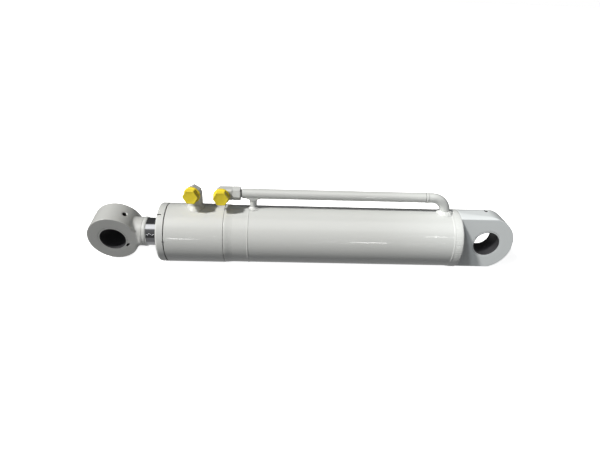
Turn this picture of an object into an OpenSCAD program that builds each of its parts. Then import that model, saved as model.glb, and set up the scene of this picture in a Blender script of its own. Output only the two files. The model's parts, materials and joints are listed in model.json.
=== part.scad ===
// Double-acting hydraulic cylinder with a welded cap end, a screwed gland and an external oil pipe.
// +X runs along the barrel towards the cap end, +Z is the side with the ports.
// The origin is the centre of the cap-end pin bore, whose axis is Y. The rod is fully retracted.

/* [Barrel] */
// Inside diameter of the honed tube
bore_d = 110; // [108:1:112]
// Outside diameter of the honed tube
tube_d = 130; // [128:1:132]
// Outside diameter of the head collar, gland flange and cap end
head_d = 133; // [132:1:136]
// Distance from the cap-end pin to the joint between tube and head collar
joint_reach = 594; // [590:1:600]
// Length of the head collar
collar_len = 126.4; // [124:0.1:130]
// Distance from the cap-end pin to the turned bead on the tube
bead_reach = 541; // [500:1:560]

/* [Cap end] */
// Diameter of the cap-end pin
cap_pin_d = 55; // [50:1:60]
// Width of the cap-end lug across its two milled flats
lug_w = 52; // [48:1:60]
// Radius of the lug's rounded end
lug_end_r = 64.5; // [60:0.5:66]
// Distance the centre of the rounded end lies behind the pin
lug_end_back = 2.5; // [0:0.5:5]
// Distance from the pin to the shoulder where the flats end
shoulder_reach = 68; // [66:1:72]
// Outer width of the weld between cap end and tube
cap_weld_w = 21; // [20:1:24]
// Offset of the cap-end grease hole from the lug's middle
cap_grease_y = 13; // [-15:1:15]

/* [Rod] */
// Diameter of the chromed piston rod
rod_d = 63; // [60:1:64]
// Distance between the pins with the rod retracted
closed_len = 842; // [838:1:848]
// Working stroke
stroke = 480; // [440:1:482]
// Diameter of the rod-eye pin
eye_pin_d = 55; // [45:1:60]
// Outside diameter of the rod eye
eye_d = 112; // [105:1:116]
// Width of the rod eye
eye_w = 59; // [50:1:60]
// Turn of the rod eye about the rod, in degrees
eye_turn = 11.5; // [0:0.5:30]
// Diameter of the neck behind the eye
neck_d = 66; // [64:1:70]

/* [Gland and piston] */
// Width of the gland flange
flange_w = 17; // [12:1:18]
// Length of the gland inside the head collar
gland_depth = 46; // [44:1:48]
// Width of the piston
piston_w = 60; // [58:1:64]
// Width of the piston nut
piston_nut_w = 26; // [22:1:28]

/* [Ports and pipe] */
// Outside diameter of the oil pipe
pipe_d = 22; // [18:1:24]
// Bore of the oil pipe
pipe_bore_d = 14; // [12:1:16]
// Height of the oil pipe above the barrel axis
pipe_z = 99.5; // [98:0.5:101]
// Centre-line radius of the pipe elbow
bend_r = 34; // [33:1:37]
// Distance from the cap-end pin to the cap-side oil hole
cap_port_reach = 101; // [101:0.5:104]
// Distance from the cap-end pin to the rod-side port
rod_port_reach = 658.5; // [656:0.5:662]
// Height of the rod-side port above the barrel axis
rod_port_z = 102; // [100:0.5:104]
// Turn of the rod-side port towards the rod end, in degrees
rod_port_yaw = 6.5; // [0:0.5:15]
// Distance from the cap-end pin to the elbow at the end of the pipe
pipe_port_reach = 598; // [596:1:600]
// Width across the flats of the rod-side elbow
port_af = 29; // [28:0.5:30]
// Width across the flats of the plugs' heads
plug_af = 30; // [28:0.5:32]
// Width across the flats of the pipe nut
pipe_nut_af = 27; // [26:0.5:29]
// Distance from the cap-end pin to the pipe's post
post_reach = 531; // [500:0.5:532]

/* [Hidden] */
$fn = 96;

paint = "whitesmoke";
yellow = "gold";
rubber = "darkslategray";
steel = "lightsteelblue";
bronze = "peru";

slack = 0.05;      // radial running clearance
cut = 1;           // how far a cutter runs past a face
edge = 1;          // chamfer on machined edges
bush_wall = 4;
seat_gap = 0.03;   // between a bush and its seat
lug_root = 0.4;    // how far the lug's outline runs into the cap's rim

bore_r = bore_d / 2;
tube_r = tube_d / 2;
head_r = head_d / 2;
rod_r = rod_d / 2;

// Stations along the barrel
shoulder_x = -shoulder_reach;
cap_weld_x = shoulder_x - cap_weld_w;      // outer toe of the cap weld on the tube
tube_end_x = cap_weld_x + tube_r - bore_r; // bore end of the tube, below a 45 degree bevel
cap_face_x = tube_end_x + 2;               // weld root gap
spigot_x = cap_weld_x - 1.5;                // end of the cap's pilot in the bore
nose_x = spigot_x - 6;                     // cap face that the oil enters against
joint_x = -joint_reach;
collar_x = joint_x - collar_len;           // front face of the head collar
seam_w = 1.6;                              // open groove between gland flange and collar
flange_x = collar_x - seam_w - flange_w;   // front face of the gland
gland_end_x = collar_x + gland_depth;
end_gap = 0.5;                             // left between piston and gland at full stroke
piston_x = gland_end_x + stroke + end_gap;
piston_end_x = piston_x + piston_w;
rod_tail_x = nose_x - end_gap;              // closed stop, against the cap

// Gland details
thread_r = bore_r + 3;
thread_len = 24.4;
seam_r = head_r - 4.5;
wiper_r = rod_r + 6.5;
wiper_w = 9;
rod_seal_x = flange_x + 16.5;
rod_seal_w = 11;
rod_seal_r = rod_r + 8;
buffer_x = rod_seal_x + 16;
buffer_w = 7;
guide_x = buffer_x + 12;
guide_w = 16;
guide_r = rod_r + 3;
gland_groove_x = collar_x + thread_len + 5;
gland_groove_w = 9;
gland_groove_r = bore_r - 4.5;
lock_angle = 81;                           // lock screw, from +Z towards -Y
lock_d = 5;
slot_angle = 28;                           // spanner slots, from +Z towards -Y

// Rod eye and its weld
eye_x = -closed_len;
neck_end_x = eye_x + 65;
rod_start_x = neck_end_x + 4;
eye_weld_root_r = rod_r - 8;
eye_fillet = 8;
eye_grease_turn = 60;                      // grease hole, from the rod axis towards +Z

// Piston details
piston_r = bore_r - 0.4;
spigot_r = 22.5;
thread_tail_r = 21;
seal_groove_w = 10;
seal_groove_r = bore_r - 8;
wear_groove_w = 12;
wear_groove_r = bore_r - 3;
side_gap = 0.3;                            // ring to groove, each side
piston_nut_af = 65;

// Ports
port_bore_r = 7;
port_thread_r = 10.45;
rod_port_y = -17;                          // front face of each port
cap_port_y = -16;
plug_flange_r = 18;
plug_flange_w = 3;
plug_head_w = 14;
plug_shank = 12;
washer_w = 1;
washer_r = 12.2;
riser_r = 16;
block_z = 12.5;                            // half the height of the pipe's elbow
post_r = 7.75;
pipe_nut_x = -576;
pipe_nut_w = 18;
pipe_nut_turn = 17;                        // one flat looks forward and this far up
nipple_gap = 3;
nipple_x = pipe_nut_x + pipe_nut_w + nipple_gap;
pipe_x = nipple_x + 11;
pipe_weld_x = -150;
pipe_weld_w = 6.5;
weld_seat_r = pipe_d / 2 - 1.4;
bend_x = -cap_port_reach - bend_r;

// Runs a child's +Z along +X, starting at x
module along_x(x) translate([x, 0, 0]) rotate([0, 90, 0]) children();

// Turns a closed outline of [radius, x] points about the barrel axis
module turned(outline) rotate([0, 90, 0]) rotate_extrude() polygon(outline);

// Ring about the barrel axis between two radii
module ring_x(x, w, r_in, r_out) turned([[r_in, x], [r_out, x], [r_out, x + w], [r_in, x + w]]);

// Round ring of round section about the barrel axis
module o_ring(x, r_mid, r_section)
    along_x(x) rotate_extrude() translate([r_mid, 0]) circle(r = r_section, $fn = 32);

// Hexagonal bar along +Z with its flats af apart
module hex_bar(af, h) cylinder(d = af / cos(30), h = h, $fn = 6);

// Solid of the barrel's outside, for cutting saddles
module barrel_envelope(r) along_x(-800) cylinder(r = r, h = 800, $fn = 360);

// Eye pin direction: the local Y axis turned with the rod eye
module eye_frame() translate([eye_x, 0, 0]) rotate([eye_turn, 0, 0]) children();

module barrel_tube() color(paint) difference() {
    turned([
        [bore_r, joint_x + 0.5], [tube_r, joint_x + 9],
        [tube_r, -bead_reach - 1.3], [tube_r + 0.6, -bead_reach - 0.7],
        [tube_r + 0.6, -bead_reach + 0.7], [tube_r, -bead_reach + 1.3],
        [tube_r, cap_weld_x], [bore_r, tube_end_x]
    ]);
    translate([-cap_port_reach, 0, 0]) cylinder(d = pipe_bore_d, h = head_r);
}

module head_collar() color(paint) difference() {
    turned([
        [thread_r, collar_x], [head_r - edge, collar_x], [head_r, collar_x + edge],
        [head_r, joint_x - edge / 2], [head_r - edge / 2, joint_x], [bore_r, joint_x],
        [bore_r, collar_x + thread_len], [thread_r, collar_x + thread_len]
    ]);
    translate([-rod_port_reach, 0, 0]) cylinder(r = port_bore_r, h = head_r + cut);
    lock_hole();
}

module head_weld() color(paint)
    turned([
        [bore_r, joint_x], [bore_r, joint_x + 0.5], [tube_r, joint_x + 9], [tube_r + 0.6, joint_x + 7],
        [tube_r + 1.2, joint_x + 4], [tube_r + 1.4, joint_x + 2], [tube_r + 1.1, joint_x]
    ]);

// Lug outline in the X-Z plane: a round end blended into the full bar at the shoulder
module lug_outline() translate([-lug_end_back, 0]) {
    root = shoulder_x + lug_end_back;
    far = sqrt(root * root + head_r * head_r);
    tangent = atan2(head_r, root) - acos(lug_end_r / far);
    tx = lug_end_r * cos(tangent);
    tz = lug_end_r * sin(tangent);
    circle(r = lug_end_r);
    polygon([[root - lug_root, head_r], [root, head_r], [tx, tz],
             [tx, -tz], [root, -head_r], [root - lug_root, -head_r]]);
}

module cap_end() color(paint) difference() {
    union() {
        intersection() {
            along_x(shoulder_x - lug_root)
                cylinder(r = head_r, h = shoulder_reach + lug_root + lug_end_r + cut);
            rotate([90, 0, 0]) translate([0, 0, -lug_w / 2]) linear_extrude(lug_w) lug_outline();
        }
        turned([
            [0, nose_x], [42, nose_x], [42, spigot_x], [bore_r, spigot_x], [bore_r, cap_face_x],
            [head_r, shoulder_x - 0.5], [head_r, shoulder_x], [0, shoulder_x]
        ]);
    }
    rotate([90, 0, 0]) translate([0, 0, -lug_w / 2 - cut]) cylinder(d = cap_pin_d + 2 * bush_wall, h = lug_w + 2 * cut);
    translate([0, cap_grease_y, 0]) cylinder(d = 6.5, h = head_r);
    translate([0, cap_grease_y, lug_end_r - 2]) cylinder(d1 = 6.5, d2 = 10.5, h = 2);
}

module cap_weld() color(paint)
    turned([
        [bore_r, tube_end_x], [tube_r, cap_weld_x], [tube_r + 1.2, cap_weld_x + 2],
        [head_r + 0.6, cap_weld_x + 9], [head_r + 0.8, cap_weld_x + 15],
        [head_r + 0.5, cap_weld_x + 20], [head_r, shoulder_x - 0.5], [bore_r, cap_face_x]
    ]);

// Plain bush with chamfered ends, centred on the pin, its axis along Z
module bush(d_in, d_out, w) rotate_extrude() polygon([
    [d_in / 2 + edge, -w / 2], [d_out / 2 - seat_gap, -w / 2],
    [d_out / 2 - seat_gap, w / 2], [d_in / 2 + edge, w / 2],
    [d_in / 2, w / 2 - edge], [d_in / 2, edge - w / 2]
]);

module cap_eye_bush() color(steel) rotate([90, 0, 0]) difference() {
    bush(cap_pin_d, cap_pin_d + 2 * bush_wall, lug_w);
    translate([0, 0, -cap_grease_y]) rotate([-90, 0, 0]) cylinder(d = 5, h = cap_pin_d);
}

module lock_hole() translate([collar_x - seam_w / 2, 0, 0]) rotate([lock_angle, 0, 0])
    translate([0, 0, thread_r]) cylinder(d = lock_d, h = head_r);

module gland() color(paint) difference() {
    turned([
        [wiper_r, flange_x], [head_r - 4, flange_x], [head_r - 1.2, flange_x + 1.2],
        [head_r, flange_x + 4], [head_r, flange_x + flange_w - edge / 2],
        [head_r - edge / 2, flange_x + flange_w], [seam_r, flange_x + flange_w], [seam_r, collar_x],
        [thread_r, collar_x], [thread_r, collar_x + thread_len], [bore_r, collar_x + thread_len],
        [bore_r, gland_groove_x], [gland_groove_r, gland_groove_x],
        [gland_groove_r, gland_groove_x + gland_groove_w], [bore_r, gland_groove_x + gland_groove_w],
        [bore_r, gland_end_x - 2], [bore_r - 2, gland_end_x],
        [rod_r + 0.4, gland_end_x], [rod_r + 0.4, guide_x + guide_w], [guide_r, guide_x + guide_w],
        [guide_r, guide_x], [rod_r + 0.4, guide_x], [rod_r + 0.4, buffer_x + buffer_w],
        [rod_seal_r, buffer_x + buffer_w], [rod_seal_r, buffer_x], [rod_r + 0.4, buffer_x],
        [rod_r + 0.4, rod_seal_x + rod_seal_w], [rod_seal_r, rod_seal_x + rod_seal_w],
        [rod_seal_r, rod_seal_x], [rod_r + 0.4, rod_seal_x], [rod_r + 0.4, flange_x + wiper_w],
        [wiper_r, flange_x + wiper_w]
    ]);
    for (turn = [0, 180]) rotate([slot_angle + turn, 0, 0])
        translate([flange_x - cut, -1.25, head_r - 5]) cube([10.5 + cut, 2.5, 5 + cut]);
    lock_hole();
}

module gland_o_ring() color(rubber) o_ring(gland_groove_x + 3, gland_groove_r + 2.25, 2.2);

module gland_backup_ring() color("white")
    ring_x(gland_groove_x + 6, 2.6, gland_groove_r + slack, bore_r - slack);

module gland_lock_screw() color(steel)
    translate([collar_x - seam_w / 2, 0, 0]) rotate([lock_angle, 0, 0])
        translate([0, 0, thread_r]) cylinder(d = lock_d, h = head_r - thread_r + 0.3);

module rod_guide_bush() color(bronze)
    ring_x(guide_x + side_gap, guide_w - 2 * side_gap, rod_r + slack, guide_r);

module buffer_seal() color("darkkhaki")
    turned([
        [rod_r + slack, buffer_x + side_gap], [rod_seal_r, buffer_x + side_gap],
        [rod_seal_r, buffer_x + buffer_w - side_gap], [rod_r + 3, buffer_x + buffer_w - side_gap],
        [rod_r + slack, buffer_x + buffer_w - 2]
    ]);

module rod_seal() color("cadetblue")
    turned([
        [rod_r + 1, rod_seal_x + side_gap], [rod_seal_r, rod_seal_x + side_gap],
        [rod_seal_r, rod_seal_x + rod_seal_w - side_gap], [rod_seal_r - 2, rod_seal_x + rod_seal_w - side_gap],
        [(rod_r + rod_seal_r) / 2, rod_seal_x + 5], [rod_r + 2, rod_seal_x + rod_seal_w - side_gap],
        [rod_r + slack, rod_seal_x + rod_seal_w - side_gap], [rod_r + slack, rod_seal_x + 4]
    ]);

module rod_wiper() color(rubber)
    turned([
        [rod_r + slack, flange_x - 2.5], [rod_r + 1.2, flange_x - 2.5], [rod_r + 4, flange_x - 0.5],
        [wiper_r, flange_x - 0.5], [wiper_r, flange_x + wiper_w], [rod_r + 1, flange_x + wiper_w],
        [rod_r + 2, flange_x + 1]
    ]);

// Frames of the two ports: the port looks along -Y
module rod_port_frame() translate([-rod_port_reach, 0, rod_port_z]) rotate([0, 0, -rod_port_yaw]) children();
module cap_port_frame() translate([-pipe_port_reach, 0, pipe_z]) children();

// Thread and oil way of a port whose face is at y
module port_cavity(y) translate([0, y, 0]) rotate([-90, 0, 0]) {
    translate([0, 0, -cut]) cylinder(r = port_thread_r, h = plug_shank + 1 + cut);
    cylinder(r = port_bore_r, h = -y);
}

module port_elbow_rod_side() color(paint) difference() {
    union() {
        rod_port_frame() translate([0, 2, 0]) rotate([90, 0, 0]) rotate([0, 0, 30])
            hex_bar(port_af, 2 - rod_port_y);
        translate([-rod_port_reach, 0, rod_port_z - 1]) cylinder(r1 = riser_r, r2 = riser_r - 6, h = 9);
        translate([-rod_port_reach, 0, bore_r]) cylinder(r = riser_r, h = rod_port_z - bore_r - 1);
    }
    barrel_envelope(head_r);
    rod_port_frame() port_cavity(rod_port_y);
    translate([-rod_port_reach, 0, bore_r]) cylinder(r = port_bore_r, h = rod_port_z - bore_r);
}

module port_elbow_weld() color(paint) difference() {
    translate([-rod_port_reach, 0, head_r - 5]) cylinder(r1 = riser_r + 8, r2 = riser_r, h = 11);
    barrel_envelope(head_r);
    translate([-rod_port_reach, 0, bore_r]) cylinder(r = riser_r, h = head_r);
}

// Rectangle w by h with its corners cut off by c
module cut_rect(w, h, c) polygon([
    [-w / 2, c - h / 2], [c - w / 2, -h / 2], [w / 2 - c, -h / 2], [w / 2, c - h / 2],
    [w / 2, h / 2 - c], [w / 2 - c, h / 2], [c - w / 2, h / 2], [-w / 2, h / 2 - c]
]);

module port_elbow_cap_side() color(paint) difference() {
    union() {
        cap_port_frame() translate([0, 9.5, 0]) rotate([90, 0, 0])
            linear_extrude(9.5 - cap_port_y) cut_rect(28, 2 * block_z, 7);
        cap_port_frame() rotate([0, 90, 0])
            linear_extrude(pipe_nut_x + pipe_port_reach) cut_rect(2 * block_z, 2 * block_z, 3);
        along_x(pipe_nut_x - cut) translate([-pipe_z, 0, 0]) cylinder(r = 10.4, h = 10 + cut);
    }
    cap_port_frame() port_cavity(cap_port_y);
    along_x(-pipe_port_reach) translate([-pipe_z, 0, 0]) cylinder(r = port_bore_r, h = 60);
}

// Hexagon-headed plug over a washer, for a port whose face is at y
module port_plug(y) color(yellow) translate([0, y - washer_w, 0]) rotate([90, 0, 0]) {
    cylinder(r = plug_flange_r, h = plug_flange_w);
    translate([0, 0, -plug_shank]) cylinder(r = port_thread_r - slack, h = plug_shank + cut);
    intersection() {
        hex_bar(plug_af, plug_flange_w + plug_head_w);
        cylinder(r1 = plug_af * 0.9, r2 = plug_af * 0.51, h = plug_flange_w + plug_head_w);
    }
}

module plug_washer(y) color(rubber) translate([0, y, 0]) rotate([90, 0, 0]) difference() {
    cylinder(r = washer_r, h = washer_w);
    translate([0, 0, -cut]) cylinder(r = port_thread_r + 0.3, h = washer_w + 2 * cut);
}

module port_plug_rod_side() rod_port_frame() port_plug(rod_port_y);
module port_plug_cap_side() cap_port_frame() port_plug(cap_port_y);
module plug_washer_rod_side() rod_port_frame() plug_washer(rod_port_y);
module plug_washer_cap_side() cap_port_frame() plug_washer(cap_port_y);

// Turns a closed outline of [radius, x] points about the pipe axis
module turned_pipe(outline) translate([0, 0, pipe_z]) turned(outline);

module pipe_nut() color(paint) difference() {
    intersection() {
        translate([0, 0, pipe_z]) rotate([-pipe_nut_turn, 0, 0])
            along_x(pipe_nut_x) hex_bar(pipe_nut_af, pipe_nut_w);
        turned_pipe([
            [0, pipe_nut_x], [pipe_nut_af * 0.53, pipe_nut_x],
            [pipe_nut_af * 0.6, pipe_nut_x + 2], [pipe_nut_af * 0.6, pipe_nut_x + pipe_nut_w - 2.5],
            [pipe_nut_af * 0.5, pipe_nut_x + pipe_nut_w], [0, pipe_nut_x + pipe_nut_w]
        ]);
    }
    turned_pipe([
        [0, pipe_nut_x - cut], [10.4, pipe_nut_x - cut], [10.4, pipe_nut_x + 15],
        [8.5, pipe_nut_x + 17], [8.5, pipe_nut_x + pipe_nut_w + cut], [0, pipe_nut_x + pipe_nut_w + cut]
    ]);
}

module pipe_nipple() color(paint)
    turned_pipe([
        [port_bore_r, pipe_nut_x + 10], [10.4, pipe_nut_x + 10], [10.4, pipe_nut_x + 15],
        [8.5, pipe_nut_x + 17], [8.5, nipple_x - 0.5], [pipe_d / 2, nipple_x], [pipe_d / 2, pipe_x],
        [port_bore_r, pipe_x]
    ]);

module oil_pipe() color(paint)
    turned_pipe([
        [pipe_bore_d / 2, pipe_x], [pipe_d / 2, pipe_x], [pipe_d / 2, pipe_weld_x - 0.5],
        [weld_seat_r, pipe_weld_x], [weld_seat_r, pipe_weld_x + 3], [pipe_bore_d / 2, pipe_weld_x + 3]
    ]);

module pipe_joint_weld() color(paint)
    turned_pipe([
        [weld_seat_r, pipe_weld_x + 1], [pipe_d / 2 + 0.2, pipe_weld_x + 1.3],
        [pipe_d / 2 + 0.7, pipe_weld_x + 2.5], [pipe_d / 2 + 0.7, pipe_weld_x + pipe_weld_w - 1.5],
        [pipe_d / 2, pipe_weld_x + pipe_weld_w], [pipe_d / 2, pipe_weld_x + 3], [weld_seat_r, pipe_weld_x + 3]
    ]);

// Round bar along the elbow's route: along the pipe, through the bend and down to the tube
module bend_bar(r) {
    translate([0, 0, pipe_z]) along_x(pipe_weld_x + 3) cylinder(r = r, h = bend_x - pipe_weld_x - 3);
    translate([bend_x, 0, pipe_z - bend_r]) rotate([90, 0, 0])
        rotate_extrude(angle = 90) translate([bend_r, 0]) circle(r = r, $fn = 48);
    translate([-cap_port_reach, 0, bore_r + 2]) cylinder(r = r, h = pipe_z - bend_r - bore_r - 2);
}

module pipe_bend() color(paint) difference() {
    bend_bar(pipe_d / 2);
    barrel_envelope(tube_r);
    cap_weld_envelope();
    bend_bar(pipe_bore_d / 2);
}

module pipe_foot_weld() color(paint) difference() {
    translate([-cap_port_reach, 0, tube_r - 4]) cylinder(r1 = 23.5, r2 = 12, h = 11);
    barrel_envelope(tube_r + slack);
    cap_weld_envelope();
    bend_bar(pipe_d / 2);
}

// Solid of the cap weld's outside, so that the pipe's foot weld stops at it
module cap_weld_envelope() along_x(cap_weld_x) cylinder(r = head_r + 1, h = cap_weld_w);

module pipe_post() color(paint) difference() {
    translate([-post_reach, 0, bore_r + 5]) cylinder(r = post_r, h = pipe_z - bore_r - 5);
    barrel_envelope(tube_r);
    translate([0, 0, pipe_z]) along_x(-post_reach - 20) cylinder(d = pipe_d, h = 40);
}

// Concave flare of a weld round the post: its radius is wide at height 0 and the post's at height h
module post_flare(wide, h) rotate_extrude() polygon(concat(
    [[post_r, -6], [wide, -6], [wide, 0]],
    [for (a = [15:15:90]) [wide - (wide - post_r) * sin(a), h * (1 - cos(a))]]
));

module post_foot_weld() color(paint) difference() {
    translate([-post_reach, 0, tube_r]) post_flare(14, 8);
    barrel_envelope(tube_r + slack);
    along_x(-bead_reach - 1.4) cylinder(r = tube_r + 0.6, h = 2.8, $fn = 360);
}

module post_top_weld() color(paint) difference() {
    intersection() {
        translate([-post_reach, 0, pipe_z - pipe_d / 2 + 1]) mirror([0, 0, 1]) post_flare(15.5, 9);
        translate([-post_reach, 0, pipe_z - pipe_d / 2]) cube([40, 19, 30], center = true);
    }
    translate([0, 0, pipe_z]) along_x(-post_reach - 20) cylinder(d = pipe_d, h = 40);
}

module piston_rod() color("silver")
    turned([
        [0, rod_start_x - 4], [eye_weld_root_r, rod_start_x - 4], [rod_r, rod_start_x + 4],
        [rod_r, piston_x - 1.5], [rod_r - 1.5, piston_x], [spigot_r, piston_x],
        [spigot_r, piston_end_x], [thread_tail_r, piston_end_x], [thread_tail_r, rod_tail_x - 1.5],
        [thread_tail_r - 1.5, rod_tail_x], [0, rod_tail_x]
    ]);

// Neck of the eye: a round bar flared into the eye by a fillet
module eye_neck() {
    reach = sqrt(pow(eye_d / 2 + eye_fillet, 2) - pow(neck_d / 2 + eye_fillet, 2));
    turned(concat(
        [[0, eye_x], [neck_d / 2 + eye_fillet, eye_x]],
        [for (a = [40:10:90]) [neck_d / 2 + eye_fillet - eye_fillet * sin(a), eye_x + reach - eye_fillet * cos(a)]],
        [[neck_d / 2, neck_end_x], [eye_weld_root_r, rod_start_x - 4], [0, rod_start_x - 4]]
    ));
}

module rod_eye() color(paint) difference() {
    union() {
        eye_frame() rotate([90, 0, 0]) translate([0, 0, -eye_w / 2]) cylinder(d = eye_d, h = eye_w);
        intersection() {
            eye_neck();
            union() {
                eye_frame() translate([0, -eye_w / 2, -neck_d]) cube([neck_end_x - eye_x - 8, eye_w, 2 * neck_d]);
                along_x(neck_end_x - 8) cylinder(r = neck_d, h = 12);
            }
        }
    }
    eye_frame() rotate([90, 0, 0]) translate([0, 0, -eye_w / 2 - cut])
        cylinder(d = eye_pin_d + 2 * bush_wall, h = eye_w + 2 * cut);
    eye_frame() rotate([0, 90 - eye_grease_turn, 0]) {
        cylinder(d = 8.5, h = eye_d / 2 + cut);
        translate([0, 0, eye_d / 2 - 2.5]) cylinder(d1 = 8.5, d2 = 15.5, h = 3.5);
    }
    eye_frame() translate([30, -eye_w / 2, -16.2]) rotate([0, -45, 0])
        cube([10.5, 16, 3.8], center = true);
}

module rod_eye_weld() color(paint)
    turned([
        [eye_weld_root_r, rod_start_x - 4], [rod_r, rod_start_x + 4], [rod_r + 1.6, rod_start_x + 2.5],
        [neck_d / 2 + 0.7, rod_start_x - 1], [neck_d / 2 + 0.5, rod_start_x - 4], [neck_d / 2, neck_end_x]
    ]);

module rod_eye_bush() color(steel) eye_frame() difference() {
    rotate([90, 0, 0]) bush(eye_pin_d, eye_pin_d + 2 * bush_wall, eye_w);
    rotate([0, 90 - eye_grease_turn, 0]) cylinder(d = 5, h = eye_pin_d);
}

wear_xs = [piston_x + 5, piston_end_x - 5 - wear_groove_w];
seal_x = (piston_x + piston_end_x - seal_groove_w) / 2;
inner_groove_x = piston_x + 8;

module piston() color(steel) difference() {
    turned([
        [spigot_r, piston_x], [piston_r - edge, piston_x], [piston_r, piston_x + edge],
        [piston_r, piston_end_x - edge], [piston_r - edge, piston_end_x], [spigot_r, piston_end_x],
        [spigot_r, inner_groove_x + 4], [spigot_r + 3, inner_groove_x + 4],
        [spigot_r + 3, inner_groove_x], [spigot_r, inner_groove_x]
    ]);
    for (x = wear_xs) ring_x(x, wear_groove_w, wear_groove_r, bore_r + cut);
    ring_x(seal_x, seal_groove_w, seal_groove_r, bore_r + cut);
}

module piston_o_ring() color(rubber) o_ring(inner_groove_x + 2, spigot_r + 1.5, 1.45);

module piston_nut() color("dimgray") difference() {
    along_x(piston_end_x) hex_bar(piston_nut_af, piston_nut_w);
    along_x(piston_end_x - cut) cylinder(r = thread_tail_r, h = piston_nut_w + 2 * cut);
    piston_nut_screw_bar();
}

module piston_nut_screw_bar()
    translate([piston_end_x + piston_nut_w / 2, 0, 0]) rotate([90, 0, 0])
        translate([0, 0, thread_tail_r]) cylinder(d = 8, h = piston_nut_af / 2 - thread_tail_r - 0.5);

module piston_nut_screw() color("black") piston_nut_screw_bar();

module piston_seal() color("saddlebrown")
    ring_x(seal_x + side_gap, seal_groove_w - 2 * side_gap, seal_groove_r + 4, bore_r - slack);

module piston_seal_energizer() color(rubber)
    o_ring(seal_x + seal_groove_w / 2, seal_groove_r + 2.15, 1.8);

module piston_wear_rings() color("olivedrab")
    for (x = wear_xs) ring_x(x + side_gap, wear_groove_w - 2 * side_gap, wear_groove_r + 0.3, bore_r - slack);

barrel_tube();
head_collar();
head_weld();
cap_end();
cap_weld();
cap_eye_bush();
gland();
gland_o_ring();
gland_backup_ring();
gland_lock_screw();
rod_guide_bush();
buffer_seal();
rod_seal();
rod_wiper();
port_elbow_rod_side();
port_elbow_weld();
port_plug_rod_side();
plug_washer_rod_side();
port_elbow_cap_side();
port_plug_cap_side();
plug_washer_cap_side();
pipe_nut();
pipe_nipple();
oil_pipe();
pipe_joint_weld();
pipe_bend();
pipe_foot_weld();
pipe_post();
post_foot_weld();
post_top_weld();
piston_rod();
rod_eye();
rod_eye_weld();
rod_eye_bush();
piston();
piston_o_ring();
piston_nut();
piston_nut_screw();
piston_seal();
piston_seal_energizer();
piston_wear_rings();
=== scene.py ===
import json
import math

import bpy
from mathutils import Euler, Matrix, Vector, noise


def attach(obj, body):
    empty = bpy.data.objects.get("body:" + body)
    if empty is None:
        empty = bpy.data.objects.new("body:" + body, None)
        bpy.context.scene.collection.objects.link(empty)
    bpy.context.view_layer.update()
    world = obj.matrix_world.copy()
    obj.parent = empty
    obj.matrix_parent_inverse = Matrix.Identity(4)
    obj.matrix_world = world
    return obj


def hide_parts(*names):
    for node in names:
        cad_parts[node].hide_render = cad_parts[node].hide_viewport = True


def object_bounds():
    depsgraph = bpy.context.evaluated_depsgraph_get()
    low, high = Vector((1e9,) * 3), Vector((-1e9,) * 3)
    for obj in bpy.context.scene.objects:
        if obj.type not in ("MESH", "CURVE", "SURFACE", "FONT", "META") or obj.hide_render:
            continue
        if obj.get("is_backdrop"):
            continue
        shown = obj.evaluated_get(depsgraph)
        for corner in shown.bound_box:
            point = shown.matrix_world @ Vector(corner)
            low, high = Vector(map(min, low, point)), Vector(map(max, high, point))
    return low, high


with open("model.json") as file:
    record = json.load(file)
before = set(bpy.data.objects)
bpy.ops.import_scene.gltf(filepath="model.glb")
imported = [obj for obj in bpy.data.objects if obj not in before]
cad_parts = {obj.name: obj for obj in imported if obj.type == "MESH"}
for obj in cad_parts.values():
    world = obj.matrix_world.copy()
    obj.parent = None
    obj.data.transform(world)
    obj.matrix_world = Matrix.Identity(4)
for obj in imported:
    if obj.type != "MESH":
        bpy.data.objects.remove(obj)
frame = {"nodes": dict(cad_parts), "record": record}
cad_low, cad_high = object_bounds()
nodes = frame["nodes"]
scene = bpy.context.scene
MM = 0.001


def span(name):
    """Lowest and highest corner of a CAD node, in mm."""
    points = [v.co for v in nodes[name].data.vertices]
    return [[pick(p[i] for p in points) / MM for i in range(3)] for pick in (min, max)]


def mount(name):
    """Place and direction of a mount in the part's record."""
    m = next(m for m in frame["record"]["mounts"] if m["name"] == name)
    return Vector(m["pos_m"]), Vector(m["axis"])


# ---------------------------------------------------------------- materials

PAINT = (0.665, 0.675, 0.66)
PAINT_WORN = (0.655, 0.665, 0.65)
# Painted light: the cap end's paint is a lighter, cooler copy and the rod eye's a darker copy of the one
# paint, for how the light falls on them
LUG_PAINT_LIT = (0.69, 0.715, 0.72)
EYE_PAINT_SHADED = (0.57, 0.575, 0.56)
# Painted shade: the colour that crevices and the inside of each hole are darkened towards
SHADE_IN_CREVICES = (0.05, 0.047, 0.042)
HOLE_SHADE = (0.02, 0.019, 0.017)
COAT = 0.6


def material(name):
    """A new node material with its Principled shader."""
    m = bpy.data.materials.new(name)
    m.use_nodes = True
    return m, m.node_tree.nodes, m.node_tree.links, m.node_tree.nodes["Principled BSDF"]


def noise_at(ns, ls, scale, detail=3.0, stretch=(1, 1, 1)):
    """A noise texture in the object's own space."""
    where = ns.new("ShaderNodeTexCoord")
    size = ns.new("ShaderNodeMapping")
    size.inputs["Scale"].default_value = stretch
    tex = ns.new("ShaderNodeTexNoise")
    tex.inputs["Scale"].default_value = scale
    tex.inputs["Detail"].default_value = detail
    ls.new(where.outputs["Object"], size.inputs["Vector"])
    ls.new(size.outputs["Vector"], tex.inputs["Vector"])
    return tex.outputs["Fac"]


def spread(ns, ls, fac, low, high, start=0.35, end=0.65):
    """Maps a 0-1 value to a range."""
    r = ns.new("ShaderNodeMapRange")
    r.inputs["From Min"].default_value = start
    r.inputs["From Max"].default_value = end
    r.inputs["To Min"].default_value = low
    r.inputs["To Max"].default_value = high
    ls.new(fac, r.inputs["Value"])
    return r.outputs["Result"]


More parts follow.
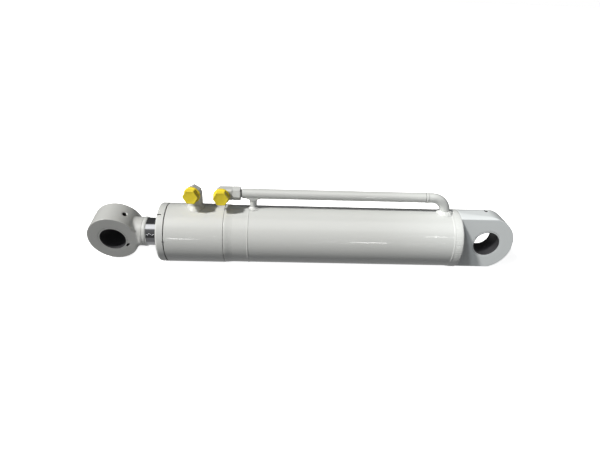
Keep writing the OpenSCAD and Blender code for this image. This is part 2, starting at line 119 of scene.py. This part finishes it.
def two_tone(ns, ls, fac, a, b, start=0.35, end=0.65):
    """Blends two colours along a 0-1 value."""
    ramp = ns.new("ShaderNodeValToRGB")
    ramp.color_ramp.elements[0].position = start
    ramp.color_ramp.elements[0].color = (*a, 1)
    ramp.color_ramp.elements[1].position = end
    ramp.color_ramp.elements[1].color = (*b, 1)
    ls.new(fac, ramp.inputs["Fac"])
    return ramp.outputs["Color"]


def add_bump(ns, ls, shader, height, strength, distance):
    """Bump from a 0-1 height, of that size in metres."""
    b = ns.new("ShaderNodeBump")
    b.inputs["Strength"].default_value = strength
    b.inputs["Distance"].default_value = distance
    ls.new(height, b.inputs["Height"])
    ls.new(b.outputs["Normal"], shader.inputs["Normal"])


def about_axis(ns, ls, centre, turn, across):
    """Distance from an axis through centre, and the turned place, in the object's own space."""
    turn = Euler(map(math.radians, turn))
    where = ns.new("ShaderNodeTexCoord")
    place = ns.new("ShaderNodeMapping")
    place.inputs["Location"].default_value = -(turn.to_matrix() @ Vector(centre))
    place.inputs["Rotation"].default_value = turn
    flat = ns.new("ShaderNodeVectorMath")
    flat.operation = "MULTIPLY"
    flat.inputs[1].default_value = across
    length = ns.new("ShaderNodeVectorMath")
    length.operation = "LENGTH"
    ls.new(where.outputs["Object"], place.inputs["Vector"])
    ls.new(place.outputs["Vector"], flat.inputs[0])
    ls.new(flat.outputs["Vector"], length.inputs[0])
    return length.outputs["Value"], place.outputs["Vector"]


def maths(ns, ls, operation, a, b=0.0):
    """A maths node; a and b are sockets or numbers."""
    node = ns.new("ShaderNodeMath")
    node.operation = operation
    for socket, value in zip(node.inputs, (a, b)):
        if isinstance(value, (int, float)):
            socket.default_value = value
        else:
            ls.new(value, socket)
    return node.outputs[0]


def blend(ns, ls, fac, a, b):
    """Mixes colour a to colour b; b is a socket. A colour mix has its own sockets, 6, 7 and output 2."""
    mix = ns.new("ShaderNodeMix")
    mix.data_type = "RGBA"
    ls.new(fac, mix.inputs["Factor"])
    mix.inputs[6].default_value = (*a, 1)
    ls.new(b, mix.inputs[7])
    return mix.outputs[2]


def set_ramp(node, stops, place, tint=(1, 1, 1)):
    """Gives a colour ramp its stops: pairs of a value, which place() brings to 0-1, and a level."""
    elements = node.color_ramp.elements
    while len(elements) < len(stops):
        elements.new(0.5)
    for element, (value, _) in zip(elements, stops):
        element.position = place(value)
    for element, (_, level) in zip(elements, stops):
        element.color = (*(level * part for part in tint), 1)


def paint(name, light, dark, rough=0.3, peel=0.2, peel_scale=260, holes=()):
    """Sprayed gloss paint: orange peel and uneven gloss, with painted shade in the crevices and inside each
    listed hole.

    Each hole is a centre, a turn that brings its axis to Z, a radius, and the heights it lies between.
    """
    m, ns, ls, sh = material(name)
    tone = two_tone(ns, ls, noise_at(ns, ls, 7, 2), dark, light, 0.2, 0.8)
    # Painted shade: ambient occlusion darkens the colour in crevices, seams and weld toes
    crevice_occlusion = ns.new("ShaderNodeAmbientOcclusion")
    crevice_occlusion.samples = 8
    crevice_occlusion.inputs["Distance"].default_value = 0.0035
    unshaded_share = spread(ns, ls, crevice_occlusion.outputs["AO"], 0.25, 1, 0.25, 0.8)
    tone = blend(ns, ls, unshaded_share, SHADE_IN_CREVICES, tone)
    # Painted shade inside each listed hole, between its two heights
    for centre, turn, radius, low, high in holes:
        distance, place = about_axis(ns, ls, centre, turn, (1, 1, 0))
        height = ns.new("ShaderNodeSeparateXYZ")
        ls.new(place, height.inputs["Vector"])
        clear = spread(ns, ls, distance, 0, 1, radius, radius + 0.0004)
        for edge, start, end in ((low, 1, 0), (high, 0, 1)):
            past = spread(ns, ls, height.outputs["Z"], start, end, edge, edge + 0.0003)
            clear = maths(ns, ls, "MAXIMUM", clear, past)
        tone = blend(ns, ls, clear, HOLE_SHADE, tone)
    ls.new(tone, sh.inputs["Base Color"])
    ls.new(spread(ns, ls, noise_at(ns, ls, 30, 2), rough * 0.95, rough * 1.1), sh.inputs["Roughness"])
    sh.inputs["Coat Weight"].default_value = COAT
    sh.inputs["Coat Roughness"].default_value = 0.012
    add_bump(ns, ls, sh, noise_at(ns, ls, peel_scale, 2), peel, 0.00008)
    return m


def pin_bush(name, centre, turn, dark_radius, rim):
    """A bush as it shows: near black round the pin, paint on the rim of its end faces."""
    m, ns, ls, sh = material(name)
    distance, _ = about_axis(ns, ls, centre, turn, (1, 0, 1))
    painted = spread(ns, ls, distance, 0, 1, dark_radius, dark_radius + 0.0004)
    ls.new(two_tone(ns, ls, painted, (0.03, 0.03, 0.033), rim, 0, 1), sh.inputs["Base Color"])
    ls.new(spread(ns, ls, painted, 0.55, 0.3, 0, 1), sh.inputs["Roughness"])
    add_bump(ns, ls, sh, noise_at(ns, ls, 90, 3, (1, 4, 1)), 0.2, 0.0001)
    return m


def metal(name, light, dark, rough, scale, stretch, bump=0.15):
    """Machined metal: fine marks drawn out along one direction. Polished metal has no bump."""
    m, ns, ls, sh = material(name)
    grain = noise_at(ns, ls, scale, 5, stretch)
    ls.new(two_tone(ns, ls, grain, dark, light), sh.inputs["Base Color"])
    ls.new(spread(ns, ls, grain, rough * 0.75, rough * 1.3), sh.inputs["Roughness"])
    sh.inputs["Metallic"].default_value = 1.0
    if bump:
        add_bump(ns, ls, sh, grain, bump, 0.00006)
    return m


def plastic(name, light, dark, rough, coat=0.0):
    """Moulded plastic or rubber: a faint mottle, uneven gloss and a fine mould grain."""
    m, ns, ls, sh = material(name)
    mottle, gloss, grain = 40, 120, 560
    ls.new(two_tone(ns, ls, noise_at(ns, ls, mottle, 3), dark, light), sh.inputs["Base Color"])
    ls.new(spread(ns, ls, noise_at(ns, ls, gloss, 2), rough * 0.8, rough * 1.2), sh.inputs["Roughness"])
    sh.inputs["Coat Weight"].default_value = coat
    add_bump(ns, ls, sh, noise_at(ns, ls, grain, 2), 0.12, 0.0001)
    return m


MAT = {
    "off_white_paint": paint("gloss_off_white", PAINT, PAINT_WORN),
    "weld_paint": paint("gloss_off_white_weld", PAINT, PAINT_WORN, 0.34, peel=0.5, peel_scale=120),
    "hard_chrome": metal("hard_chrome", (0.74, 0.75, 0.77), (0.66, 0.67, 0.69), 0.08, 90,
                         (0.2, 6, 6), bump=0),
    "bush_steel": metal("near_black_bush_steel", (0.05, 0.05, 0.055), (0.025, 0.025, 0.028), 0.4, 60,
                        (5, 0.3, 5)),
    "plain_steel": metal("machined_steel", (0.48, 0.48, 0.49), (0.36, 0.36, 0.37), 0.38, 70, (6, 1, 1)),
    "guide_bronze": metal("guide_bronze", (0.7, 0.5, 0.26), (0.55, 0.36, 0.16), 0.35, 70, (6, 1, 1)),
    "yellow_plastic": plastic("moulded_yellow", (0.98, 0.79, 0.046), (0.9, 0.71, 0.04), 0.38, coat=0.2),
    "black_rubber": plastic("black_rubber", (0.03, 0.03, 0.032), (0.018, 0.018, 0.02), 0.6),
    "seal_polyurethane": plastic("seal_polyurethane", (0.1, 0.34, 0.44), (0.07, 0.26, 0.35), 0.4),
    "seal_bronze_ptfe": plastic("seal_bronze_ptfe", (0.3, 0.17, 0.08), (0.22, 0.12, 0.06), 0.45),
    "backup_plastic": plastic("backup_plastic", (0.8, 0.79, 0.74), (0.7, 0.69, 0.64), 0.4),
    "wear_ring_resin": plastic("wear_ring_resin", (0.16, 0.25, 0.12), (0.1, 0.18, 0.08), 0.5),
}

# The rod eye is turned about the rod. It has a slot in its front face and a grease hole in its rim.
eye_centre, eye_axis = mount("rod_pin_bore")
eye_turn = math.degrees(math.atan2(eye_axis.z, eye_axis.y))
eye_half = 0.0295
slot_in_eye = Vector((0.03, -eye_half, -0.0162))
slot_at = eye_centre + Euler((math.radians(eye_turn), 0, 0)).to_matrix() @ slot_in_eye
# Painted light: the bush rims and the two forgings take the lighter cap-end copy and the darker rod-eye copy
# of the paint
MAT["cap_eye_bush"] = pin_bush("cap_eye_bush", (0, 0, 0), (0, 0, 0), 0.0293, LUG_PAINT_LIT)
MAT["rod_eye_bush"] = pin_bush("rod_eye_bush", eye_centre, (-eye_turn, 0, 0), 0.0285, EYE_PAINT_SHADED)
# Painted shade inside each grease hole and inside the eye's slot
MAT["lug_paint_lit"] = paint("lug_paint_lit", LUG_PAINT_LIT, LUG_PAINT_LIT, holes=[((0, 0.013, 0), (0, 0, 0), 0.0042, 0, 1)])
MAT["eye_paint_shaded"] = paint("eye_paint_shaded", EYE_PAINT_SHADED, EYE_PAINT_SHADED, holes=[
    (eye_centre, (-eye_turn, -30, 0), 0.0049, 0, 1),
    (slot_at, (-eye_turn - 90, 0, 0), 0.0075, -0.009, -0.0004),
])

slot_of = {s["node"]: s["material_slot"] for s in frame["record"]["subparts"]}
for name, obj in nodes.items():
    obj.data.materials.clear()
    obj.data.materials.append(MAT.get(name) or MAT[slot_of[name]])


# ---------------------------------------------------------------- mesh tools


def link(name, mesh, mat, body, replaces):
    """Puts a finished mesh in the scene as a piece of the object, in place of the CAD nodes it replaces."""
    obj = bpy.data.objects.new(name, mesh)
    scene.collection.objects.link(obj)
    mesh.materials.clear()
    mesh.materials.append(MAT[mat])
    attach(obj, body)
    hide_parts(*replaces)


def grid_mesh(name, rows, closed_rows=False, caps=False):
    """A mesh from rows of points; each row is a closed loop."""
    verts = [p for row in rows for p in row]
    n = len(rows[0])
    faces = []
    last = len(rows) if closed_rows else len(rows) - 1
    for i in range(last):
        a, b = i * n, ((i + 1) % len(rows)) * n
        for j in range(n):
            k = (j + 1) % n
            faces.append((a + j, a + k, b + k, b + j))
    if caps:
        faces.append(tuple(range(n))[::-1])
        faces.append(tuple((len(rows) - 1) * n + j for j in range(n)))
    mesh = bpy.data.meshes.new(name)
    mesh.from_pydata([v[:] for v in verts], [], faces)
    mesh.validate()
    mesh.shade_smooth()
    return mesh


def after_modifiers(obj):
    """A new mesh, as the object's modifiers leave it."""
    return bpy.data.meshes.new_from_object(obj.evaluated_get(bpy.context.evaluated_depsgraph_get()))


def smooth(obj, passes, group=""):
    """Adds a smoothing modifier, for a whole object or for one of its vertex groups."""
    soft = obj.modifiers.new("soft", "SMOOTH")
    soft.factor = 0.5
    soft.iterations = passes
    soft.vertex_group = group


def melted(obj, mesh, low, high, passes):
    """The mesh rounded off further between two places along X, all but its far side."""
    fade, far_side = 0.004, 0.01
    obj.modifiers.clear()
    obj.data = mesh
    group = obj.vertex_groups.new(name="melt")
    for v in mesh.vertices:
        weight = min(max(0.0, (v.co.x - low) / fade), max(0.0, (high - v.co.x) / fade), 1.0)
        if weight > 0 and v.co.y < far_side:
            group.add([v.index], weight, "REPLACE")
    smooth(obj, passes, group.name)
    return after_modifiers(obj)


def add_lumps(mesh, size, top):
    """Raises weld lumps of that height on a mesh, up to z = top."""
    fade = 0.003
    normals = [v.normal.copy() for v in mesh.vertices]
    for v, normal in zip(mesh.vertices, normals):
        share = min(max((top - v.co.z) / fade, 0.0), 1.0)
        v.co += normal * size * share * (noise.noise(v.co * 260) + 0.5 * noise.noise(v.co * 600))


def remade(name, sources, voxel, passes, mat, body, melt=None, lumps=None):
    """One soft-edged skin over copies of CAD nodes, as paint leaves it, which then stands for them.

    voxel is in mm. melt is what melted() takes and lumps what add_lumps() takes, after the mesh.
    """
    verts, faces = [], []
    for s in sources:
        base = len(verts)
        verts += [v.co[:] for v in nodes[s].data.vertices]
        faces += [[base + i for i in p.vertices] for p in nodes[s].data.polygons]
    mesh = bpy.data.meshes.new(name)
    mesh.from_pydata(verts, [], faces)
    obj = bpy.data.objects.new(name, mesh)
    scene.collection.objects.link(obj)
    skin = obj.modifiers.new("skin", "REMESH")
    skin.mode = "VOXEL"
    skin.voxel_size = voxel * MM
    smooth(obj, passes)
    done = after_modifiers(obj)
    if melt:
        done = melted(obj, done, *melt)
    bpy.data.objects.remove(obj)
    if lumps:
        add_lumps(done, *lumps)
    done.shade_smooth()
    link(name, done, mat, body, sources)


def turned_skin(name, profile, body, mat, replaces, ripple, steps, height=0.0):
    """A ring about the X axis, or a line above it, from (x, radius) points in mm, with a rippled radius."""
    rows = []
    for x, r in profile:
        row = []
        for j in range(steps):
            t = 2 * math.pi * j / steps
            rr = r + ripple(t, x)
            row.append(Vector((x * MM, -rr * MM * math.sin(t), height * MM + rr * MM * math.cos(t))))
        rows.append(row)
    link(name, grid_mesh(name, rows, closed_rows=True), mat, body, replaces)


def arc(x0, r0, x1, r1, rise, count):
    """Points along a shallow bulge from one (x, radius) to another."""
    out = []
    for i in range(count + 1):
        f = i / count
        out.append((x0 + (x1 - x0) * f, r0 + (r1 - r0) * f + rise * math.sin(math.pi * f)))
    return out


def bead_ripple(pitch, size, radius, skew, seed, edge0, edge1):
    """The fish-scale ripple of a weld run round a tube of that radius, fading out at its two edges."""
    def ripple(t, x):
        along = t * radius
        across = (x - edge0) / (edge1 - edge0)
        fade = max(0.0, math.sin(math.pi * min(max(across, 0), 1))) ** 0.5
        wander = noise.noise(Vector((math.cos(t) * 3, math.sin(t) * 3, seed)))
        wave = math.sin(2 * math.pi * (along / pitch + skew * (across - 0.5) ** 2 + wander))
        grain = noise.noise(Vector((math.cos(t) * 14, math.sin(t) * 14, x * 0.5 + seed)))
        return fade * size * (0.6 * wave + 0.7 * grain)
    return ripple


def hex_radius(t, flat, start, sharp):
    """Radius of a hexagon of that width across its flats; the sharper, the less its corners are rounded."""
    s = sum(max(0.0, math.cos(t - start - k * math.pi / 3)) ** sharp for k in range(6))
    return flat / 2 / s ** (1 / sharp)


def port_plug(name, place, body, replaces):
    """Moulded hexagon plug: threaded shank, round flange and a soft-edged hexagon head with a shallow rim.

    Its heights w are in mm along its axis, from the underside of the flange outwards.
    """
    steps = 120
    flat, start, corner = 30.0, math.pi / 6, 17.0
    crest, depth, pitch, thread_rows, run_out = 10.38, 0.55, 1.8, 40, 5
    low, high = span(replaces[0])
    rim = (high[2] - low[2]) / 2
    rows = []

    def add(w, r_of):
        row = []
        for j in range(steps):
            t = 2 * math.pi * j / steps
            r = r_of(t) * MM
            row.append(place @ Vector((r * math.cos(t), -w * MM, r * math.sin(t))))
        rows.append(row)

    def ring(r):
        return lambda t: r

    def threaded(w, full):
        def r_of(t):
            turns = w / pitch + t / (2 * math.pi)
            return crest - depth * (1 - full * (0.5 + 0.5 * math.cos(2 * math.pi * turns)))
        return r_of

    def foot(wide):
        def r_of(t):
            r = hex_radius(t, flat, start, 30)
            return r * (1 - wide) + min(r + 0.9, corner + 0.4) * wide
        return r_of

    def head(inset):
        return lambda t: min(hex_radius(t, flat, start, 26), corner) - inset

    add(-12.0, ring(8.6))
    add(-11.9, ring(9.0))
    for i in range(thread_rows + 1):
        w = -11.5 + 10.3 * i / thread_rows
        add(w, threaded(w, min(1.0, i / run_out, (thread_rows - i) / run_out)))
    add(-0.5, ring(9.6))
    add(0.0, ring(9.7))
    for w, inset in ((0.0, 0.6), (0.12, 0.25), (0.45, 0.0), (2.3, 0.0), (2.75, 0.15), (3.0, 0.5)):
        add(w, ring(rim - inset))
    for w, wide in ((3.05, 0.85), (3.25, 0.4), (3.6, 0.1)):
        add(w, foot(wide))
    add(5.0, head(0.0))
    add(14.6, head(0.25))
    for a in range(0, 91, 15):
        add(16.0 + math.sin(math.radians(a)), head(0.25 + 1 - math.cos(math.radians(a))))
    add(17.0, head(2.2))
    add(16.85, head(2.7))
    add(16.8, ring(7.0))
    add(16.8, ring(2.0))
    link(name, grid_mesh(name, rows, caps=True), "yellow_plastic", body, replaces)


# ---------------------------------------------------------------- the remade pieces

remade("cap_lug_forging", ["cap_end"], 1.0, 4, "lug_paint_lit", "barrel")
remade("rod_eye_forging", ["rod_eye"], 0.85, 4, "eye_paint_shaded", "rod",
       melt=(eye_centre.x + 0.044, eye_centre.x + 0.062, 90))
remade("rod_side_elbow", ["port_elbow_rod_side", "port_elbow_weld"], 0.5, 4, "off_white_paint", "barrel")
remade("pipe_end_elbow", ["port_elbow_cap_side"], 0.5, 5, "off_white_paint", "barrel")
remade("pipe_hex_nut", ["pipe_nut"], 0.45, 4, "off_white_paint", "barrel")
tube_top = span("barrel_tube")[1][2] * MM
remade("pipe_post_welded", ["pipe_post", "post_foot_weld", "post_top_weld"], 0.5, 6, "weld_paint", "barrel",
       lumps=(0.0011, tube_top + 0.009))

# In mm: the tube's radius, the oil pipe's height over the axis, and the bands' hidden inner radius
TUBE_R = 65.0
PIPE_Z = 99.5
INSIDE = 61.0

# Weld bands, with the ripple of their runs
cap_x, lug_x = span("cap_weld")[0][0], span("cap_weld")[1][0] + 0.5
profile = [(cap_x + 1, INSIDE), (cap_x - 0.4, 64.4)]
for first, last, low, high, rise in ((0, 4, 65.1, 65.5, 0.3), (4, 20, 65.5, 66.5, 0.3)):
    profile += arc(cap_x + first, low, cap_x + last, high, rise, 10)[:-1]
profile += [(lug_x - 0.6, 66.2), (lug_x - 0.2, 65.6), (lug_x - 0.5, INSIDE)]
turned_skin("cap_weld_band", profile, "barrel", "weld_paint", ["cap_weld"],
            bead_ripple(5.0, 0.2, 66.5, 1.6, 3.0, cap_x, lug_x), 720)

seam_x = span("head_weld")[0][0]
profile = [(seam_x + 0.3, INSIDE), (seam_x + 0.2, 65.3), (seam_x + 0.65, 65.6)]
profile += [(seam_x + 0.85 + 17 * i / 16, 65.58 + 0.57 * math.cos(math.pi * i / 16)) for i in range(17)]
profile += [(seam_x + 17.9, 64.99), (seam_x + 17.95, 64.8), (seam_x + 18, INSIDE)]
turned_skin("head_weld_band", profile, "barrel", "off_white_paint", ["head_weld"],
            bead_ripple(6.0, 0.03, 65.5, 1.0, 9.0, seam_x, seam_x + 18), 480)

weld_x = span("pipe_joint_weld")[0][0] - 1
profile = [(weld_x + 1.1, 9.6), (weld_x + 1.0, 11.0)] + arc(weld_x + 1.2, 11.2, weld_x + 6.5, 11.0, 0.6, 8)
profile += [(weld_x + 6.5, 10.9), (weld_x + 6.0, 9.6)]
turned_skin("pipe_weld_ring", profile, "barrel", "weld_paint", ["pipe_joint_weld"],
            bead_ripple(3.0, 0.2, 11.5, 1.2, 5.0, weld_x, weld_x + 6.5), 160, height=PIPE_Z)

# The weld round the foot of the oil pipe, saddled on the tube: rows from its toe up to the pipe
foot_x = span("pipe_bend")[1][0] - 11
up, around, scales, pipe_r = 12, 240, 13, 10.6
rows = []
for i in range(up + 3):
    f = min(i / up, 1.0)
    row = []
    for j in range(around):
        t = 2 * math.pi * j / around
        wander = noise.noise(Vector((2 * math.cos(t), 2 * math.sin(t), 4.0)))
        scale = math.sin(2 * math.pi * (scales * t / (2 * math.pi) + 0.8 * wander + 0.5 * (f - 0.5) ** 2))
        lump = noise.noise(Vector((5 * math.cos(t), 5 * math.sin(t), 3 * f)))
        toe = 19.8 + 2.4 * wander
        out = toe + (pipe_r - toe) * f if i <= up else pipe_r - 0.2
        y = out * math.sin(t)
        x = foot_x + out * math.cos(t)
        bulge = math.sin(math.pi * f)
        rise = 6.6 * f ** 1.15 + 1.1 * bulge + (0.35 * scale + 0.5 * lump) * bulge ** 0.6
        if i == 0 or i > up:
            rise = -1.0
        row.append(Vector((x, y, math.sqrt(TUBE_R ** 2 - y * y) + rise)) * MM)
    rows.append(row)
link("pipe_foot_weld_ring", grid_mesh("pipe_foot_weld_ring", rows, closed_rows=True), "weld_paint", "barrel",
     ["pipe_foot_weld"])

# The two port plugs, each on its port's washer
WASHER = 1 * MM
for side, body in (("rod", "rod_side_plug"), ("cap", "cap_side_plug")):
    face, axis = mount(f"{side}_side_port")
    turn = Matrix.Rotation(math.atan2(axis.x, -axis.y), 4, "Z")
    seat = Matrix.Translation(face + WASHER * axis) @ turn
    port_plug(f"hex_plug_{side}_side", seat, body, [f"port_plug_{side}_side"])


# ---------------------------------------------------------------- camera, floor and light


def camera_turn(yaw, pitch, roll):
    """Blender's camera axes for a heading from +Y, a dip below level and a roll."""
    y, p, r = map(math.radians, (yaw, pitch, roll))
    ahead = Vector((math.sin(y) * math.cos(p), math.cos(y) * math.cos(p), -math.sin(p)))
    side = Vector((math.cos(y), -math.sin(y), 0))
    top = side.cross(ahead)
    right = side * math.cos(r) + top * math.sin(r)
    up = top * math.cos(r) - side * math.sin(r)
    return Matrix((right, up, -ahead)).transposed().to_4x4()


cam_data = bpy.data.cameras.new("camera")
cam_data.sensor_width = 36
cam_data.lens = 27.06
cam_data.shift_x = -0.00025
cam_data.shift_y = 0.00175
cam_data.clip_end = 1000
cam = bpy.data.objects.new("camera", cam_data)
cam.matrix_world = Matrix.Translation((-0.4595, -0.9089, 0.5036)) @ camera_turn(2.14, 27.92, 2.25)
scene.collection.objects.link(cam)
scene.camera = cam

floor_mesh = bpy.data.meshes.new("floor")
floor_z = cad_low.z - 0.0005
reach = 30
floor_mesh.from_pydata(
    [(-reach, -reach, floor_z), (reach, -reach, floor_z), (reach, reach, floor_z), (-reach, reach, floor_z)],
    [], [(0, 1, 2, 3)],
)
floor = bpy.data.objects.new("floor", floor_mesh)
scene.collection.objects.link(floor)
fm, _, _, fs = material("floor_white")
fs.inputs["Base Color"].default_value = (0.93, 0.93, 0.93, 1)
fs.inputs["Roughness"].default_value = 0.9
fs.inputs["Specular IOR Level"].default_value = 0.1
fs.inputs["Emission Color"].default_value = (1, 1, 1, 1)
fs.inputs["Emission Strength"].default_value = 0.85
floor_mesh.materials.append(fm)
floor.visible_diffuse = False
floor.visible_glossy = False
floor.visible_shadow = False
floor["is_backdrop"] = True

world = bpy.data.worlds.new("world")
scene.world = world
world.use_nodes = True
wn, wl = world.node_tree.nodes, world.node_tree.links
where = wn.new("ShaderNodeTexCoord")
parts = wn.new("ShaderNodeSeparateXYZ")
wl.new(where.outputs["Generated"], parts.inputs["Vector"])
east, north, sky = (parts.outputs[c] for c in "XYZ")


def background(colour, strength=1.0):
    """A background shader; either value may be a socket."""
    node = wn.new("ShaderNodeBackground")
    for socket, value in zip(node.inputs, (colour, strength)):
        if isinstance(value, bpy.types.NodeSocket):
            wl.new(value, socket)
        else:
            socket.default_value = value
    return node.outputs[0]


def either(when, no, yes):
    """One shader or another, for one kind of ray."""
    mix = wn.new("ShaderNodeMixShader")
    for socket, value in zip(mix.inputs, (when, no, yes)):
        wl.new(value, socket)
    return mix.outputs[0]


def of_turn(angle):
    """An angle about the X axis as the 0-1 place on a ramp."""
    return angle / 360 + 0.5


# The angle about the X axis, up from the side that the camera is on, as that 0-1 place
turn = maths(wn, wl, "ARCTAN2", sky, maths(wn, wl, "MULTIPLY", north, -1.0))
turn = maths(wn, wl, "ADD", maths(wn, wl, "DIVIDE", turn, 2 * math.pi), 0.5)

# Gloss sees a studio in bands about the barrel's axis: dim walls and a bright band overhead
bands = wn.new("ShaderNodeValToRGB")
set_ramp(bands, [
    (-180, 0.08), (-140, 0.40), (-75, 0.30), (-70, 0.16), (-32, 0.16), (-26, 0.05), (-2, 0.05),
    (10, 0.10), (42, 0.16), (50, 1.1), (82, 1.1), (92, 0.06), (180, 0.05),
], of_turn)
wl.new(turn, bands.inputs["Fac"])

# It also sees a row of far windows just above the horizon, with walls between them
line_at, line_half, step_from, step, brightness = 1.5, 1.6, 0.25, 28, 16.0
along = wn.new("ShaderNodeValToRGB")
set_ramp(along, [
    (-1, 0), (-0.31, 0.02), (-0.252, 0.01), (-0.245, 1), (-0.21, 0.9), (-0.195, 0), (0.14, 0), (0.15, 0.8),
    (0.215, 1), (0.225, 0), (0.298, 0), (0.305, 0.8), (0.345, 0.6), (0.36, 0),
], lambda x: x / 2 + 0.5)
wl.new(maths(wn, wl, "ADD", maths(wn, wl, "DIVIDE", east, 2.0), 0.5), along.inputs["Fac"])
step_up = maths(wn, wl, "MULTIPLY", maths(wn, wl, "GREATER_THAN", east, step_from), step / 360)
height = maths(wn, wl, "SUBTRACT", maths(wn, wl, "SUBTRACT", turn, of_turn(line_at)), step_up)
near_line = maths(wn, wl, "LESS_THAN", maths(wn, wl, "ABSOLUTE", height), line_half / 360)
windows = maths(wn, wl, "MULTIPLY", maths(wn, wl, "MULTIPLY", near_line, along.outputs["Color"]), brightness)
seen = wn.new("ShaderNodeAddShader")
wl.new(background(bands.outputs["Color"]), seen.inputs[0])
wl.new(background((1, 1, 1, 1), windows), seen.inputs[1])

# The soft light on the surfaces is in bands too, and stronger from the rod's end
soft = wn.new("ShaderNodeValToRGB")
set_ramp(soft, [
    (-180, 0.5), (-130, 0.5), (-118, 0.6), (-92, 0.6), (-88, 0.05), (-32, 0.05), (-28, 0.3), (-2, 0.3),
    (2, 0.12), (28, 0.12), (32, 0.55), (58, 0.55), (62, 0.02), (118, 0.02), (122, 0.1), (150, 0.1),
    (180, 0.5),
], of_turn, tint=(0.98, 0.99, 1))
wl.new(turn, soft.inputs["Fac"])
fill = wn["Background"]
wl.new(soft.outputs["Color"], fill.inputs["Color"])
wl.new(maths(wn, wl, "SUBTRACT", 1.0, maths(wn, wl, "MULTIPLY", east, 0.9)), fill.inputs["Strength"])

# The camera itself sees a plain white wall
ray = wn.new("ShaderNodeLightPath")
lit = either(ray.outputs["Is Glossy Ray"], fill.outputs[0], seen.outputs[0])
shown = either(ray.outputs["Is Camera Ray"], lit, background((1, 1, 1, 1)))
wl.new(shown, wn["World Output"].inputs["Surface"])

# The key light, from the camera's upper left
key_data = bpy.data.lights.new("key", "SUN")
key_data.angle = math.radians(5)
key_data.energy = 3.6
key_data.color = (1.0, 0.99, 0.96)
key = bpy.data.objects.new("key", key_data)
key.rotation_euler = Vector((-0.596, -0.304, 0.743)).to_track_quat("Z", "Y").to_euler()
scene.collection.objects.link(key)

# A soft lamp that reaches the cap end from the same side
lamp_data = bpy.data.lights.new("cap_lamp", "SPOT")
lamp_data.energy = 52.0
lamp_data.shadow_soft_size = 0.09
lamp_data.spot_size = math.radians(14)
lamp_data.spot_blend = 1.0
lamp_data.color = (0.93, 0.98, 1.0)
lamp = bpy.data.objects.new("cap_lamp", lamp_data)
lamp.location = (-0.95, -0.84, 1.51)
lamp.rotation_euler = (lamp.location - Vector((0.06, 0, 0))).to_track_quat("Z", "Y").to_euler()
lamp.visible_glossy = False
scene.collection.objects.link(lamp)

scene.view_settings.view_transform = "Standard"

low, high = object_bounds()
